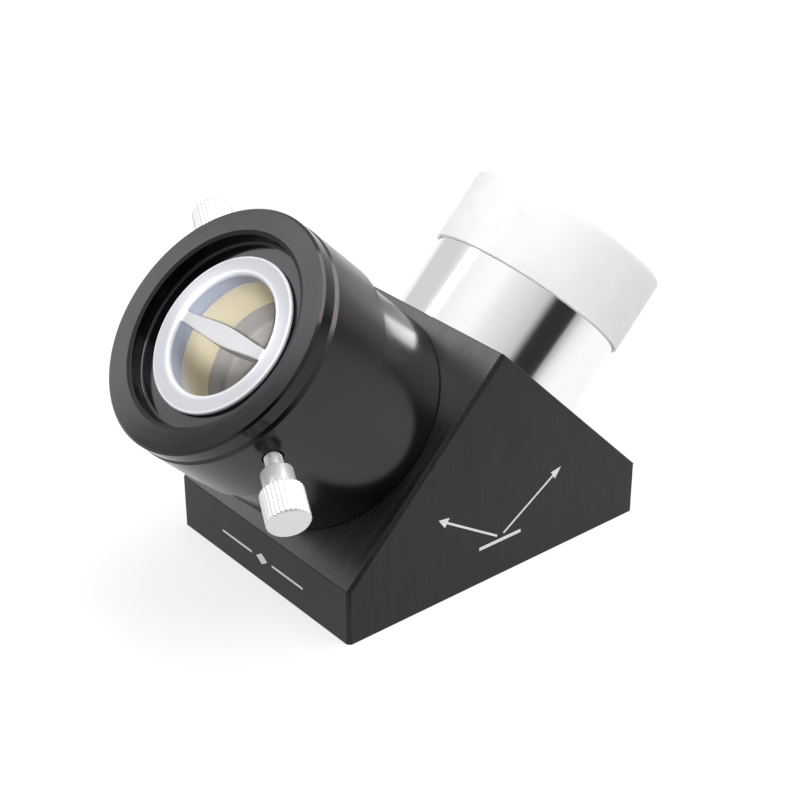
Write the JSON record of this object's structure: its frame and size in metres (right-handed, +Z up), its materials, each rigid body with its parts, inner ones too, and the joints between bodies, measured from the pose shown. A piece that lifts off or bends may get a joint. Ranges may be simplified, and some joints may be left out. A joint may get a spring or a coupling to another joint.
{
  "type": "star diagonal",
  "caption": "Two-inch mirror star diagonal: wedge block with a polished nosepiece and cap, a clamping eyepiece holder with thumbscrews, and an eyepiece adapter with a dust plug.",
  "frame": {"origin": "centre of the base, on the underside of the back plate", "axes": "+Z up from the base, +X along the base towards the nosepiece side, Y across the block; both tubes lean 45 degrees from Z, the eyepiece holder towards -X and the nosepiece towards +X"},
  "size_m": [0.1445, 0.0809, 0.09],
  "materials": {
    "black_anodised": "brushed, matt black anodised",
    "gloss_black": "fine turned, gloss black anodised",
    "black_screw": "black oxide",
    "bright_metal": "bright nickel plate, knurled",
    "chrome": "polished and bright plated",
    "brass": "satin brass",
    "milky_plastic": "milky translucent polyethylene",
    "mirror_coating": "dielectric coating on a quartz flat",
    "black_rubber": "soft black rubber",
    "printed_mark": "pale printed ink"
  },
  "bodies": {
    "diagonal": {"housing": "black_anodised", "back_plate": "black_anodised", "plate_screw_1": "black_screw", "plate_screw_2": "black_screw", "plate_screw_3": "black_screw", "plate_screw_4": "black_screw", "mirror": "mirror_coating", "mirror_pad_1": "black_rubber", "mirror_pad_2": "black_rubber", "mirror_pad_3": "black_rubber", "mirror_pad_4": "black_rubber", "holder_tube": "gloss_black", "eyepiece_holder": "gloss_black", "holder_clamp_ring": "brass", "nosepiece": "chrome"},
    "adapter": {"adapter_body": "gloss_black", "adapter_clamp_ring": "brass"},
    "plug": {"dust_plug": "milky_plastic"},
    "cap": {"nosepiece_cap": "milky_plastic"},
    "screw_1_stud": {"thumbscrew_1_stud": "bright_metal"},
    "screw_1_head": {"thumbscrew_1_head": "bright_metal"},
    "screw_2_stud": {"thumbscrew_2_stud": "bright_metal"},
    "screw_2_head": {"thumbscrew_2_head": "bright_metal"}
  },
  "joints": [
    {"name": "adapter_slide", "type": "slide", "parent": "diagonal", "child": "adapter", "axis": [-0.7071, 0, 0.7071], "range_m": [0, 0.03]},
    {"name": "plug_slide", "type": "slide", "parent": "adapter", "child": "plug", "axis": [-0.7071, 0, 0.7071], "range_m": [0, 0.025]},
    {"name": "cap_slide", "type": "slide", "parent": "diagonal", "child": "cap", "axis": [0.7071, 0, 0.7071], "range_m": [0, 0.025]},
    {"name": "screw_1_advance", "type": "slide", "parent": "diagonal", "child": "screw_1_stud", "axis": [-0.382, -0.8415, -0.382], "range_m": [-0.0027, 0]},
    {"name": "screw_1_turn", "type": "hinge", "parent": "screw_1_stud", "child": "screw_1_head", "pos_m": [-0.04653, 0, 0.06103], "axis": [-0.382, -0.8415, -0.382], "range_deg": [-1388.57, 0]},
    {"name": "screw_2_advance", "type": "slide", "parent": "diagonal", "child": "screw_2_stud", "axis": [0.382, 0.8415, 0.382], "range_m": [0, 0.0027]},
    {"name": "screw_2_turn", "type": "hinge", "parent": "screw_2_stud", "child": "screw_2_head", "pos_m": [-0.04653, 0, 0.06103], "axis": [0.382, 0.8415, 0.382], "range_deg": [0, 1388.57]}
  ],
  "couplings": [
    {"joint": "screw_1_turn", "follows": "screw_1_advance", "rad_per_m": 8976},
    {"joint": "screw_2_turn", "follows": "screw_2_advance", "rad_per_m": 8976}
  ]
}
